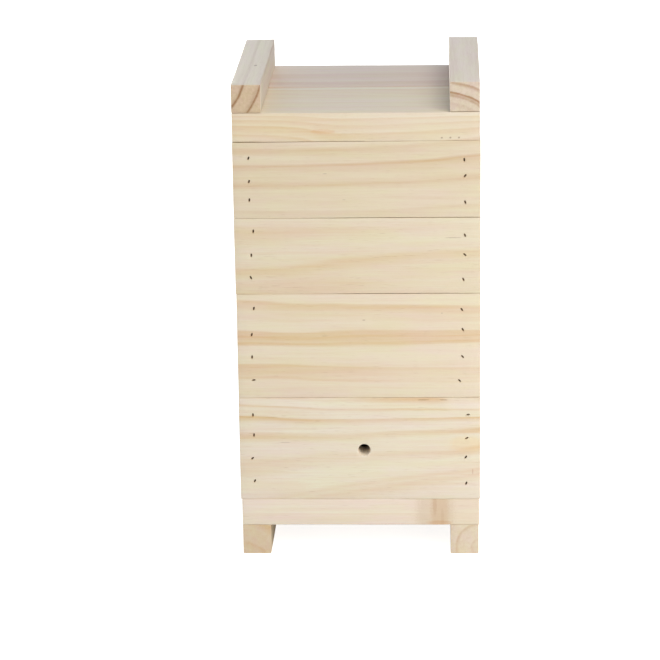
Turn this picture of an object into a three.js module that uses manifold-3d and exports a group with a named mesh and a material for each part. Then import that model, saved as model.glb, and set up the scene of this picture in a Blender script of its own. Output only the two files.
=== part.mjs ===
// A hive for small stingless bees: a stack of nailed pine boxes between a floor on two feet and a lid with
// two battens. From the ground up: feet, floor, nest, over-nest, lower super, upper super, lid. Each box
// lifts straight off the one below it. Millimetres, +Z up. The origin is on the ground under the middle of
// the hive, and the front faces -Y.

import * as THREE from "three";
import { mergeVertices } from "three/addons/utils/BufferGeometryUtils.js";
import Module from "manifold-3d";

const wasm = await Module();
wasm.setup();

// Driving dimensions, in millimetres.
const insideWidth = 120; // clear width between the side boards, along X
const insideDepth = 120; // clear depth between the front and back boards, along Y
const wallThickness = 18; // planed pine, all four walls of every box
const nestHeight = 70;
const overNestHeight = 70;
const superHeight = 50; // each of the two honey boxes
const gap = 0.3; // air left in every joint between two boards

const floorThickness = 18;
const floorFrontDepth = 80; // front one of the two boards that make the floor
const footWidth = 18.5;
const footHeight = 20;

const lidThickness = 18;
const lidFrontDepth = 82; // front one of the two boards that make the lid
const leftBatten = { width: 18, height: 18 };
const rightBatten = { width: 18.5, height: 19 }; // cut from a slightly thicker strip

const entranceDiameter = 8; // round flight hole in the nest's front
const entranceSideways = 3; // its centre, right of the hive's middle
const entranceBelowMiddle = 1; // its centre, under half the nest's height
const roundSides = 32;

const cornerSpacing = 20; // bare wall between two of the over-nest's corner pieces
const cornerThickness = 10;
const superFloorThickness = 8;
const superPassage = 12; // slot that the bees climb through, left and right of a super's floor

// A brad is a flat wire nail: a short T head, a rectangular shank and a chisel point.
const brad = {
  length: 35,
  shankTall: 1.2,
  shankWide: 1,
  headTall: 2,
  headThick: 0.8,
  pointLength: 1.5,
  pointTall: 0.3,
};
const bradSink = 0.8; // head below the wood's surface
const bradSlip = 0.15; // air round a brad in its hole
const bradTipRoom = 1; // hole left past the point
const rowMargin = { nest: 11.5, super: 10.5 }; // from a box's edges to the end brads of an evenly spaced row

// How far each hand-driven brad strays from its even row, counted from the bottom: up, inwards from the
// middle of the side board's thickness, and turned about its own length, in degrees.
const strays = {
  nest: {
    left: [[0.9, -0.3, 20], [1, -1.6, 45], [1.5, -0.2, 5], [-0.3, -0.6, 0]],
    right: [[-0.8, -0.8, 25], [1.7, -0.5, 35], [-0.8, -1.1, 60], [-0.3, -2, 75]],
  },
  overNest: {
    left: [[0.4, 0.5, 80], [0.4, -0.2, 5], [-0.1, -0.1, 15], [1.9, 1.7, 12]],
    right: [[-0.3, 3.5, -45], [0.4, 1.6, -40], [3, 1.4, -28], [0.8, 2, -35]],
  },
  lowerSuper: {
    left: [[0.3, 0.3, -25], [0.7, 0.9, 4], [2.1, 2.5, 6]],
    right: [[-1.4, 1, -20], [0.6, 0.1, -45], [-1.1, 0, -16]],
  },
  upperSuper: {
    left: [[1.4, 0.5, 6], [-1, 0.5, 20], [-0.3, 0.5, 20]],
    right: [[-0.7, -0.2, -15], [2.1, -0.1, 38], [-2, 0.4, -4]],
  },
};

// Sizes and levels that follow.
const outerWidth = insideWidth + 2 * wallThickness;
const outerDepth = insideDepth + 2 * wallThickness;
const sideBoardX = (outerWidth - wallThickness) / 2;
const endBoardY = (outerDepth - wallThickness) / 2;
const floorLevel = footHeight + gap;
const nestLevel = floorLevel + floorThickness + gap;
const overNestLevel = nestLevel + nestHeight + gap;
const lowerSuperLevel = overNestLevel + overNestHeight + gap;
const upperSuperLevel = lowerSuperLevel + superHeight + gap;
const lidLevel = upperSuperLevel + superHeight + gap;

const pine = new THREE.MeshStandardMaterial({ color: 0xe4d2b0, roughness: 0.72, metalness: 0 });
const endGrainPine = new THREE.MeshStandardMaterial({ color: 0xd9ba92, roughness: 0.8, metalness: 0 });
const steel = new THREE.MeshStandardMaterial({ color: 0x5a544c, roughness: 0.45, metalness: 0.9 });

// A three.js geometry, moved by a matrix, as a solid that can be cut.
function toSolid(geometry, matrix) {
  const bare = geometry.clone().applyMatrix4(matrix);
  bare.deleteAttribute("normal");
  bare.deleteAttribute("uv");
  const merged = mergeVertices(bare);
  return new wasm.Manifold(
    new wasm.Mesh({
      numProp: 3,
      vertProperties: merged.attributes.position.array,
      triVerts: new Uint32Array(merged.index.array),
    }),
  );
}

function toGeometry(solid) {
  const mesh = solid.getMesh();
  const geometry = new THREE.BufferGeometry();
  geometry.setAttribute("position", new THREE.BufferAttribute(mesh.vertProperties, 3));
  geometry.setIndex(new THREE.BufferAttribute(mesh.triVerts, 1));
  geometry.computeVertexNormals();
  return geometry;
}

// A rectangular board. x and y are its centre, z its underside, and cutters are the solids taken out of it.
function board(name, size, place, cutters = [], material = pine) {
  const box = new THREE.BoxGeometry(size.width, size.depth, size.height);
  const centre = new THREE.Matrix4().makeTranslation(place.x, place.y, place.z + size.height / 2);
  const solid = cutters.reduce((left, cutter) => left.subtract(cutter), toSolid(box, centre));
  const mesh = new THREE.Mesh(toGeometry(solid), material);
  mesh.name = name;
  return mesh;
}

// A brad's outline seen from the side, grown by slip: its length runs along the shape's X, height along Y.
// reach moves the outline's outer end out past the head, and tipRoom its inner end past the point.
function bradOutline(slip, reach, tipRoom) {
  const head = brad.headTall / 2 + slip;
  const shank = brad.shankTall / 2 + slip;
  const shoulder = brad.headThick + slip;
  const taper = brad.length - brad.pointLength + tipRoom;
  const tip = brad.length + tipRoom;
  const point = brad.pointTall / 2 + slip;
  const half = [[-reach, head], [shoulder, head], [shoulder, shank], [taper, shank], [tip, point]];
  const mirrored = half.map(([along, up]) => [along, -up]).reverse();
  return new THREE.Shape([...half, ...mirrored].map(([along, up]) => new THREE.Vector2(along, up)));
}

// The outline as a solid that runs inwards along +Y, with its height along +Z.
function bradGeometry(slip, reach, tipRoom) {
  const wide = brad.shankWide + 2 * slip;
  const outline = bradOutline(slip, reach, tipRoom);
  const geometry = new THREE.ExtrudeGeometry(outline, { depth: wide, bevelEnabled: false });
  geometry.translate(0, 0, -wide / 2);
  const turn = new THREE.Matrix4().makeBasis(
    new THREE.Vector3(0, 1, 0),
    new THREE.Vector3(0, 0, 1),
    new THREE.Vector3(1, 0, 0),
  );
  return geometry.applyMatrix4(turn);
}

const bradBody = bradGeometry(0, 0, 0);
const bradPocket = bradGeometry(bradSlip, 2 * bradSink, bradTipRoom);

// Where the brads of one side's row sit in a box of this height, in the box's own frame.
function bradRow(height, margin, side, rowStrays) {
  const spacing = (height - 2 * margin) / (rowStrays.length - 1);
  return rowStrays.map(([up, inwards, degrees], i) => {
    const x = side * (sideBoardX - inwards);
    const z = margin + i * spacing + up;
    const turn = new THREE.Matrix4().makeRotationY(THREE.MathUtils.degToRad(degrees));
    return turn.setPosition(x, -outerDepth / 2 + bradSink, z);
  });
}

// One box of the hive: a front and a back board over the ends of two side boards, with a row of brads down
// each side of the front. frontCutters are taken out of the front board as well.
function nailedBox(name, height, margin, rows, frontCutters = []) {
  const group = new THREE.Group();
  const rowPlaces = {
    left: bradRow(height, margin, -1, rows.left),
    right: bradRow(height, margin, 1, rows.right),
  };
  const pockets = {
    left: rowPlaces.left.map((place) => toSolid(bradPocket, place)),
    right: rowPlaces.right.map((place) => toSolid(bradPocket, place)),
  };
  const endSize = { width: outerWidth, depth: wallThickness, height };
  const sideSize = { width: wallThickness, depth: insideDepth - 2 * gap, height };
  const frontCuts = [...pockets.left, ...pockets.right, ...frontCutters];
  group.add(board(`${name}_front`, endSize, { x: 0, y: -endBoardY, z: 0 }, frontCuts));
  group.add(board(`${name}_back`, endSize, { x: 0, y: endBoardY, z: 0 }));
  group.add(board(`${name}_left`, sideSize, { x: -sideBoardX, y: 0, z: 0 }, pockets.left));
  group.add(board(`${name}_right`, sideSize, { x: sideBoardX, y: 0, z: 0 }, pockets.right));
  for (const side of ["left", "right"]) {
    rowPlaces[side].forEach((place, i) => {
      const nail = new THREE.Mesh(bradBody, steel);
      nail.name = `${name}_brad_${side}_${i + 1}`;
      nail.applyMatrix4(place);
      group.add(nail);
    });
  }
  return group;
}

// A round cutter along Y through the nest's front board.
function entranceBore() {
  const radius = entranceDiameter / 2;
  const bore = new THREE.CylinderGeometry(radius, radius, 2 * wallThickness, roundSides);
  const z = nestHeight / 2 - entranceBelowMiddle;
  return toSolid(bore, new THREE.Matrix4().makeTranslation(entranceSideways, -endBoardY, z));
}

// Four flat triangles in the bottom corners of the over-nest, with one wide way through between them.
function cornerPieces(name) {
  const legX = (insideWidth - cornerSpacing) / 2 - gap;
  const legY = (insideDepth - cornerSpacing) / 2 - gap;
  const pieces = [];
  for (const [end, endSign] of [["front", -1], ["back", 1]]) {
    for (const [side, sideSign] of [["left", -1], ["right", 1]]) {
      const x = sideSign * (insideWidth / 2 - gap);
      const y = endSign * (insideDepth / 2 - gap);
      const outline = new THREE.Shape([
        new THREE.Vector2(x, y),
        new THREE.Vector2(x - sideSign * legX, y),
        new THREE.Vector2(x, y - endSign * legY),
      ]);
      const geometry = new THREE.ExtrudeGeometry(outline, { depth: cornerThickness, bevelEnabled: false });
      const mesh = new THREE.Mesh(geometry, pine);
      mesh.name = `${name}_corner_${end}_${side}`;
      pieces.push(mesh);
    }
  }
  return pieces;
}

// The thin board in the bottom of a super, narrower than the box, so that a passage stays open on each side.
function superFloor(name) {
  const width = insideWidth - 2 * superPassage;
  const depth = insideDepth - 2 * gap;
  return board(`${name}_floor`, { width, depth, height: superFloorThickness }, { x: 0, y: 0, z: 0 });
}

// Two boards side by side that cover the hive's outline, with the joint between them running along X.
function boardPair(name, frontDepth, thickness) {
  const rearDepth = outerDepth - frontDepth - gap;
  const front = { width: outerWidth, depth: frontDepth, height: thickness };
  const rear = { width: outerWidth, depth: rearDepth, height: thickness };
  return [
    board(`${name}_front_board`, front, { x: 0, y: (frontDepth - outerDepth) / 2, z: 0 }),
    board(`${name}_rear_board`, rear, { x: 0, y: (outerDepth - rearDepth) / 2, z: 0 }),
  ];
}

// A strip that runs front to back, flush with the hive's left (-1) or right (1) side.
function strip(name, size, side, z) {
  const place = { x: (side * (outerWidth - size.width)) / 2, y: 0, z };
  return board(name, { width: size.width, depth: outerDepth, height: size.height }, place, [], endGrainPine);
}

function floor() {
  const group = new THREE.Group();
  const foot = { width: footWidth, height: footHeight };
  const footZ = -gap - footHeight;
  group.add(...boardPair("floor", floorFrontDepth, floorThickness));
  group.add(strip("foot_left", foot, -1, footZ));
  group.add(strip("foot_right", foot, 1, footZ));
  return group;
}

function nest() {
  return nailedBox("nest", nestHeight, rowMargin.nest, strays.nest, [entranceBore()]);
}

function overNest() {
  const group = nailedBox("over_nest", overNestHeight, rowMargin.nest, strays.overNest);
  group.add(...cornerPieces("over_nest"));
  return group;
}

function honeySuper(name, rowStrays) {
  const group = nailedBox(name, superHeight, rowMargin.super, rowStrays);
  group.add(superFloor(name));
  return group;
}

function lid() {
  const group = new THREE.Group();
  const battenZ = lidThickness + gap;
  group.add(...boardPair("lid", lidFrontDepth, lidThickness));
  group.add(strip("lid_batten_left", leftBatten, -1, battenZ));
  group.add(strip("lid_batten_right", rightBatten, 1, battenZ));
  return group;
}

const hive = new THREE.Group();
const stack = [
  [floor(), floorLevel],
  [nest(), nestLevel],
  [overNest(), overNestLevel],
  [honeySuper("lower_super", strays.lowerSuper), lowerSuperLevel],
  [honeySuper("upper_super", strays.upperSuper), upperSuperLevel],
  [lid(), lidLevel],
];
for (const [group, level] of stack) {
  group.position.z = level;
  hive.add(group);
}

export default hive;
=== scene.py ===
import math
import random

import bpy
from mathutils import Euler, Matrix, Vector


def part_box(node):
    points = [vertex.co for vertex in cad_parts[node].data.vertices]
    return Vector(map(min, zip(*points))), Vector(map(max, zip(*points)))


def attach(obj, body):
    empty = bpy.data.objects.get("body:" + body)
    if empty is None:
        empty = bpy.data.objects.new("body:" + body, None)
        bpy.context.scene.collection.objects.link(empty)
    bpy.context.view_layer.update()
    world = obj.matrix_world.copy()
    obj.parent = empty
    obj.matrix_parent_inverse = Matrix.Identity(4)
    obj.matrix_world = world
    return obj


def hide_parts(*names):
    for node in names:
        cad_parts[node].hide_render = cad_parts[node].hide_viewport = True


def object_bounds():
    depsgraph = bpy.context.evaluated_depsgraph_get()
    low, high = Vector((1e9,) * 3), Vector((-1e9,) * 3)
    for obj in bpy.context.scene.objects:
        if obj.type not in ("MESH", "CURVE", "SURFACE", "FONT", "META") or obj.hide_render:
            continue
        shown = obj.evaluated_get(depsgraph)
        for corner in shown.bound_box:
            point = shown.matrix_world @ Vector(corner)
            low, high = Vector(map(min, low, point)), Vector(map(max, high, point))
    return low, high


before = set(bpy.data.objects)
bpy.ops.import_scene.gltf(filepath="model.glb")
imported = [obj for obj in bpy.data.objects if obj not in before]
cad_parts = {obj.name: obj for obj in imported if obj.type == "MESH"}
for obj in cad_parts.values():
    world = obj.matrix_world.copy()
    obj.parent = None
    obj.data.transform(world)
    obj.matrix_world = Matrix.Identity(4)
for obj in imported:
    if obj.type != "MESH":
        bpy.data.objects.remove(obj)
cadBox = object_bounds()
mm = 0.001


def deselectAll():
    bpy.ops.object.select_all(action="DESELECT")


def pick(piece):
    deselectAll()
    piece.select_set(True)
    bpy.context.view_layer.objects.active = piece


def leaveEdit():
    bpy.ops.object.mode_set(mode="OBJECT")


def editAll():
    bpy.ops.object.mode_set(mode="EDIT")
    bpy.ops.mesh.select_all(action="SELECT")


def enterEdit(piece, mode):
    pick(piece)
    bpy.ops.object.mode_set(mode="EDIT")
    bpy.ops.mesh.select_mode(type=mode)
    bpy.ops.mesh.select_all(action="DESELECT")
    leaveEdit()


def selectVerts(piece, test):
    for vert in piece.data.vertices:
        vert.select = test(vert.co)
    bpy.ops.object.mode_set(mode="EDIT")


def selectEdges(piece, test):
    verts = piece.data.vertices
    for edge in piece.data.edges:
        edge.select = test(verts[edge.vertices[0]].co, verts[edge.vertices[1]].co)
    bpy.ops.object.mode_set(mode="EDIT")


def applyAll(piece):
    pick(piece)
    for modifier in list(piece.modifiers):
        bpy.ops.object.modifier_apply(modifier=modifier.name)


def placeInMesh(piece):
    pick(piece)
    bpy.ops.object.transform_apply(location=True, rotation=True, scale=True)


def shadeSoft(piece, degrees=35):
    pick(piece)
    bpy.ops.object.shade_smooth_by_angle(angle=math.radians(degrees))


def copyPiece(piece, name):
    double = piece.copy()
    double.data = piece.data.copy()
    double.name = name
    bpy.context.scene.collection.objects.link(double)
    return double


def tone(red, green, blue):
    # a colour as a paint chart gives it, turned into light values
    linear = []
    for part in (red, green, blue):
        share = part / 255
        linear.append(share / 12.92 if share < 0.04045 else ((share + 0.055) / 1.055) ** 2.4)
    return (*linear, 1)


def addNode(tree, kind, inputs=None, **settings):
    node = tree.nodes.new(kind)
    for name, value in settings.items():
        setattr(node, name, value)
    for name, value in (inputs or {}).items():
        if isinstance(value, bpy.types.NodeSocket):
            tree.links.new(value, node.inputs[name])
        else:
            node.inputs[name].default_value = value
    return node


def calc(tree, operation, *values, clamp=False):
    inputs = dict(enumerate(values))
    node = addNode(tree, "ShaderNodeMath", inputs, operation=operation, use_clamp=clamp)
    return node.outputs[0]


def vectorCalc(tree, operation, first, second=None):
    inputs = {0: first} if second is None else {0: first, 1: second}
    return addNode(tree, "ShaderNodeVectorMath", inputs, operation=operation).outputs


def scaled(tree, vector, x, y, z):
    return vectorCalc(tree, "MULTIPLY", vector, (x, y, z))[0]


def shifted(tree, vector, amount):
    spread = addNode(tree, "ShaderNodeCombineXYZ", {0: amount, 1: amount, 2: amount}).outputs[0]
    return vectorCalc(tree, "ADD", vector, spread)[0]


def noise(tree, vector, scale=1.0, detail=2.0, roughness=0.5):
    inputs = {"Vector": vector, "Scale": scale, "Detail": detail, "Roughness": roughness}
    return addNode(tree, "ShaderNodeTexNoise", inputs).outputs["Fac"]


def remap(tree, value, fromLow, fromHigh, toLow=0.0, toHigh=1.0, smooth=False):
    inputs = {0: value, 1: fromLow, 2: fromHigh, 3: toLow, 4: toHigh}
    kind = "SMOOTHSTEP" if smooth else "LINEAR"
    return addNode(tree, "ShaderNodeMapRange", inputs, interpolation_type=kind).outputs[0]


def blendColors(tree, factor, first, second, kind="MIX"):
    inputs = {0: factor, 6: first, 7: second}
    node = addNode(tree, "ShaderNodeMix", inputs, data_type="RGBA", blend_type=kind)
    return node.outputs[2]


def makeGroup(name, inputs, outputs):
    tree = bpy.data.node_groups.new(name, "ShaderNodeTree")
    kinds = {"value": "NodeSocketFloat", "colour": "NodeSocketColor", "vector": "NodeSocketVector"}
    for label, kind in inputs:
        tree.interface.new_socket(label, in_out="INPUT", socket_type=kinds[kind])
    for label, kind in outputs:
        tree.interface.new_socket(label, in_out="OUTPUT", socket_type=kinds[kind])
    entry = tree.nodes.new("NodeGroupInput")
    leave = tree.nodes.new("NodeGroupOutput")
    return tree, entry.outputs, leave.inputs


def useGroup(tree, group, inputs):
    node = tree.nodes.new("ShaderNodeGroup")
    node.node_tree = group
    for label, value in inputs.items():
        if isinstance(value, bpy.types.NodeSocket):
            tree.links.new(value, node.inputs[label])
        else:
            node.inputs[label].default_value = value
    return node.outputs


# A point in a board is given in millimetres: x along the grain, y behind the best face,
# z across that face. Each pair is how fine a noise is along the grain and across it.
grain = {
    "slowSway": (0.014, 0.05),
    "quickSway": (0.05, 0.3),
    "patches": (0.022, 0.13),
    "streaks": (0.014, 0.5),
    "fibres": (0.09, 3.6),
    "canals": (0.12, 2.4),
    "pores": (0.5, 6.0),
}
planed = {
    "quickShare": 0.2,      # of the rings' sway
    "streakShare": 0.62,    # of the density
    "fibreShare": 0.26,
    "patchRange": (0.36, 0.64),
    "canalRange": (0.64, 0.8),
    "canalStrength": (0.5, 0.2),
    "poreRange": (0.3, 0.7, 0.0, 0.3),
    "poreRelief": (0.8, 0.2),
    "endDensity": 0.25,     # how much denser the cut ends look
    "yellowSide": (0.99, 0.985, 0.9, 1),
    "pinkSide": (1.0, 0.94, 0.955, 1),
    "canal": tone(178, 140, 98),
    "worn": tone(206, 178, 140),
    "wornShare": 0.2,
    "wornReach": 1.3 * mm,
    "wornPatches": 90.0,
    "roughness": 0.46,
    "fibreRoughness": 0.16,
    "endRoughness": 0.2,
    "latewoodRoughness": -0.08,
    "ior": 1.42,
    "relief": 0.06 * mm,
    "reliefStrength": 0.35,
}


def grainNoise(tree, point, name, detail, roughness=0.5):
    along, across = grain[name]
    return noise(tree, scaled(tree, point, along, across, across), 1.0, detail, roughness)


def makeRingField():
    # how far out from the pith a point is: as a radius, and as the height on the best face
    # where the same growth ring comes out
    inputs = [("Point", "vector"), ("Pith Behind", "value"), ("Pith Below", "value"),
              ("Wander", "value"), ("Seed", "value")]
    tree, start, end = makeGroup("growthRings", inputs, [("Radius", "value"), ("Level", "value")])
    split = addNode(tree, "ShaderNodeSeparateXYZ", {0: start["Point"]}).outputs
    inward = calc(tree, "SUBTRACT", start["Pith Behind"], split[1])
    upward = calc(tree, "ADD", start["Pith Below"], split[2])
    squared = calc(tree, "MULTIPLY_ADD", inward, inward, calc(tree, "MULTIPLY", upward, upward))
    sways = []
    for name in ("slowSway", "quickSway"):
        along, across = grain[name]
        place = scaled(tree, start["Point"], along, across, across)
        sways.append(noise(tree, shifted(tree, place, start["Seed"])))
    share = planed["quickShare"]
    quick = calc(tree, "MULTIPLY_ADD", sways[1], share, -share / 2)
    sway = calc(tree, "ADD", calc(tree, "SUBTRACT", sways[0], 0.5), quick)
    sway = calc(tree, "MULTIPLY", sway, start["Wander"])
    behind = calc(tree, "MULTIPLY", start["Pith Behind"], start["Pith Behind"])
    beyond = calc(tree, "SUBTRACT", squared, behind)
    height = calc(tree, "MULTIPLY", calc(tree, "SIGN", beyond),
                  calc(tree, "SQRT", calc(tree, "ABSOLUTE", beyond)))
    level = calc(tree, "ADD", calc(tree, "SUBTRACT", height, start["Pith Below"]), sway)
    tree.links.new(calc(tree, "ADD", calc(tree, "SQRT", squared), sway), end["Radius"])
    tree.links.new(level, end["Level"])
    return tree


def makeEdgeWear():
    # 1 along the worn edges of a board, fading over a millimetre, broken up by noise
    inputs = [("Place", "vector"), ("Centre", "vector"), ("Half Size", "vector"), ("Seed", "value")]
    tree, start, end = makeGroup("edgeWear", inputs, [("Edge", "value")])
    offset = vectorCalc(tree, "SUBTRACT", start["Place"], start["Centre"])[0]
    away = vectorCalc(tree, "ABSOLUTE", offset)[0]
    inside = vectorCalc(tree, "SUBTRACT", start["Half Size"], away)[0]
    parts = addNode(tree, "ShaderNodeSeparateXYZ", {0: inside}).outputs
    near = [remap(tree, part, 0.0, planed["wornReach"], 1.0, 0.0, smooth=True) for part in parts]
    pairs = [calc(tree, "MULTIPLY", near[0], near[1]), calc(tree, "MULTIPLY", near[1], near[2]),
             calc(tree, "MULTIPLY", near[2], near[0])]
    strongest = calc(tree, "MAXIMUM", calc(tree, "MAXIMUM", pairs[0], pairs[1]), pairs[2])
    patchy = noise(tree, shifted(tree, start["Place"], start["Seed"]), planed["wornPatches"], 3.0)
    tree.links.new(calc(tree, "MULTIPLY", strongest, remap(tree, patchy, 0.35, 0.65)), end["Edge"])
    return tree


spotEdge = {"grain": 0.9, "ragged": 0.7, "fade": (0.55, 1.05)}


def makeSpot():
    # a soft oval spot in a board, for marks such as a pin knot and a streak of pitch, and for painted light
    # such as the pale wall of the entrance hole
    inputs = [("Point", "vector"), ("Middle", "vector"), ("Reach", "vector"), ("Seed", "value")]
    tree, start, end = makeGroup("markAndPaintedLightSpot", inputs, [("Mask", "value")])
    offset = vectorCalc(tree, "SUBTRACT", start["Point"], start["Middle"])[0]
    shares = vectorCalc(tree, "DIVIDE", offset, start["Reach"])[0]
    distance = vectorCalc(tree, "LENGTH", shares)["Value"]
    ragged = noise(tree, shifted(tree, start["Point"], start["Seed"]), spotEdge["grain"], 3.0)
    ragged = calc(tree, "MULTIPLY_ADD", ragged, spotEdge["ragged"], -spotEdge["ragged"] / 2)
    distance = calc(tree, "ADD", distance, ragged)
    tree.links.new(remap(tree, distance, *spotEdge["fade"], 1.0, 0.0, smooth=True), end["Mask"])
    return tree


def makePineSurface():
    # colour, roughness and relief of planed pine, from how dense the growth ring is at a point
    inputs = [("Point", "vector"), ("Density", "value"), ("End Grain", "value"), ("Edge", "value"),
              ("Pale", "colour"), ("Tan", "colour"), ("End Tint", "colour"), ("Seed", "value")]
    outputs = [("Color", "colour"), ("Roughness", "value"), ("Relief", "value")]
    tree, start, end = makeGroup("pineSurface", inputs, outputs)
    place = shifted(tree, start["Point"], start["Seed"])
    patches = grainNoise(tree, place, "patches", 4.0, 0.6)
    streaks = grainNoise(tree, place, "streaks", 5.0, 0.7)
    fibres = grainNoise(tree, place, "fibres", 3.0, 0.7)
    canals = grainNoise(tree, place, "canals", 1.0)
    pores = grainNoise(tree, place, "pores", 2.0)

    along = calc(tree, "SUBTRACT", 1.0, start["End Grain"])
    streaks = calc(tree, "SUBTRACT", streaks, 0.5)
    density = calc(tree, "MULTIPLY_ADD", streaks, planed["streakShare"], start["Density"])
    finer = calc(tree, "SUBTRACT", fibres, 0.5)
    density = calc(tree, "MULTIPLY_ADD", finer, planed["fibreShare"], density, clamp=True)
    deeper = calc(tree, "MULTIPLY_ADD", start["End Grain"], planed["endDensity"], 1.0)
    density = calc(tree, "MULTIPLY", density, deeper, clamp=True)
    colour = blendColors(tree, density, start["Pale"], start["Tan"])

    # one side of a board is a little yellower and the other a little pinker
    side = remap(tree, patches, *planed["patchRange"])
    tint = blendColors(tree, side, planed["yellowSide"], planed["pinkSide"])
    colour = blendColors(tree, 1.0, colour, tint, "MULTIPLY")
    # resin canals: short fine lines in the denser wood
    line = calc(tree, "MULTIPLY", remap(tree, canals, *planed["canalRange"]), along)
    strength = calc(tree, "MULTIPLY_ADD", start["Density"], *planed["canalStrength"])
    line = calc(tree, "MULTIPLY", line, strength)
    colour = blendColors(tree, line, colour, planed["canal"])
    # open ends of the fibres drink in light
    shut = remap(tree, pores, *planed["poreRange"])
    cut = blendColors(tree, shut, start["End Tint"], (1, 1, 1, 1))
    cut = blendColors(tree, 1.0, colour, cut, "MULTIPLY")
    colour = blendColors(tree, start["End Grain"], colour, cut)
    worn = calc(tree, "MULTIPLY", start["Edge"], planed["wornShare"])
    colour = blendColors(tree, worn, colour, planed["worn"])

    rough = calc(tree, "MULTIPLY_ADD", fibres, planed["fibreRoughness"], planed["roughness"])
    rough = calc(tree, "MULTIPLY_ADD", start["Density"], planed["latewoodRoughness"], rough)
    rough = calc(tree, "MULTIPLY_ADD", start["End Grain"], planed["endRoughness"], rough, clamp=True)
    relief = calc(tree, "MULTIPLY_ADD", fibres, 0.5, calc(tree, "MULTIPLY", start["Density"], 0.5))
    openPores = calc(tree, "MULTIPLY_ADD", start["End Grain"], *planed["poreRelief"])
    relief = calc(tree, "MULTIPLY_ADD", pores, openPores, relief)
    tree.links.new(colour, end["Color"])
    tree.links.new(rough, end["Roughness"])
    tree.links.new(relief, end["Relief"])
    return tree


ringField = makeRingField()
edgeWear = makeEdgeWear()
markAndPaintedLightSpot = makeSpot()
pineSurface = makePineSurface()
print("timber node groups ready")

# which way a board's best face looks, as the turn that brings it to the front
turns = {
    "front": (0, 0, 0),
    "back": (0, 0, math.pi),
    "left": (0, 0, math.pi / 2),
    "right": (0, 0, -math.pi / 2),
    "top": (math.pi / 2, 0, 0),
}


def faceStart(low, high, facing):
    # the middle of the best face's lower edge
    middle = (low + high) / 2
    starts = {
        "front": (middle.x, low.y, low.z),
        "back": (middle.x, high.y, low.z),
        "left": (low.x, middle.y, low.z),
        "right": (high.x, middle.y, low.z),
        "top": (middle.x, low.y, high.z),
    }
    return Vector(starts[facing])


curveSpan = 160.0     # the length that a curve covers, a little more than a board's
sweepReach = 20       # the furthest that the rings run up or down, in millimetres
fadeReach = 2         # the most that the rings are strengthened


def curveAlong(tree, along, points, reach):
    # a smooth curve over the board's length; points are (millimetres from the middle, value)
    node = addNode(tree, "ShaderNodeFloatCurve", {"Value": along})
    curve = node.mapping.curves[0]
    spots = [(0.5 + x / curveSpan, 0.5 + value / (2 * reach)) for x, value in points]
    curve.points[0].location = spots[0]
    curve.points[1].location = spots[-1]
    for spot in spots[1:-1]:
        curve.points.new(*spot)
    node.mapping.update()
    return calc(tree, "MULTIPLY_ADD", node.outputs[0], 2 * reach, -reach)


def curvesOverFace(tree, point, rows, reach):
    # several such curves, each true at its own height, and blended between those heights
    split = addNode(tree, "ShaderNodeSeparateXYZ", {0: point}).outputs
    along = calc(tree, "MULTIPLY_ADD", split[0], 1 / curveSpan, 0.5, clamp=True)
    rows = sorted(rows)
    result = curveAlong(tree, along, rows[0][1], reach)
    for (lower, _), (upper, points) in zip(rows, rows[1:]):
        higher = curveAlong(tree, along, points, reach)
        share = remap(tree, split[2], lower, upper)
        result = addNode(tree, "ShaderNodeMix", {0: share, 2: result, 3: higher}).outputs[0]
    return result


rampLow = -60.0       # the lowest growth ring that a profile tells of, and how far it goes up
rampLong = 150.0


def densityRamp(tree, level, profile):
    # profile is (height in millimetres, density) across the growth rings, 32 stops at most
    share = calc(tree, "MULTIPLY_ADD", level, 1 / rampLong, -rampLow / rampLong, clamp=True)
    node = addNode(tree, "ShaderNodeValToRGB", {0: share})
    stops = node.color_ramp.elements
    for index, (height, density) in enumerate(sorted(profile)):
        place = (height - rampLow) / rampLong
        stop = stops[index] if index < 2 else stops.new(place)
        stop.position = place
        stop.color = (density, density, density, 1)
    return node.outputs[0]


bradFinish = {
    "dark": (0.1, 0.075, 0.052, 1),
    "rusty": (0.22, 0.15, 0.09, 1),
    "spots": 900.0,           # noise per metre
    "drawn": (3000, 200, 3000),
    "roughness": (0.42, 0.7),
    "metallic": (0.9, 0.45),
    "relief": 0.03 * mm,
    "reliefStrength": 0.5,
}


def bradMaterial():
    steel = bpy.data.materials.new("bradSteel")
    steel.use_nodes = True
    tree = steel.node_tree
    shader = tree.nodes["Principled BSDF"]
    place = addNode(tree, "ShaderNodeTexCoord").outputs["Object"]
    dull = noise(tree, place, bradFinish["spots"], 4.0)
    drawn = noise(tree, scaled(tree, place, *bradFinish["drawn"]), 1.0, 2.0)
    colour = blendColors(tree, remap(tree, dull, 0.4, 0.7), bradFinish["dark"], bradFinish["rusty"])
    tree.links.new(colour, shader.inputs["Base Color"])
    tree.links.new(remap(tree, dull, 0.3, 0.7, *bradFinish["roughness"]), shader.inputs["Roughness"])
    tree.links.new(remap(tree, dull, 0.4, 0.7, *bradFinish["metallic"]), shader.inputs["Metallic"])
    inputs = {"Height": drawn, "Strength": bradFinish["reliefStrength"], "Distance": bradFinish["relief"]}
    bump = addNode(tree, "ShaderNodeBump", inputs)
    tree.links.new(bump.outputs[0], shader.inputs["Normal"])
    return steel


seedStep = 17.3       # how far apart two boards lie in the noise
spotSeedStep = 3.1


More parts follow.
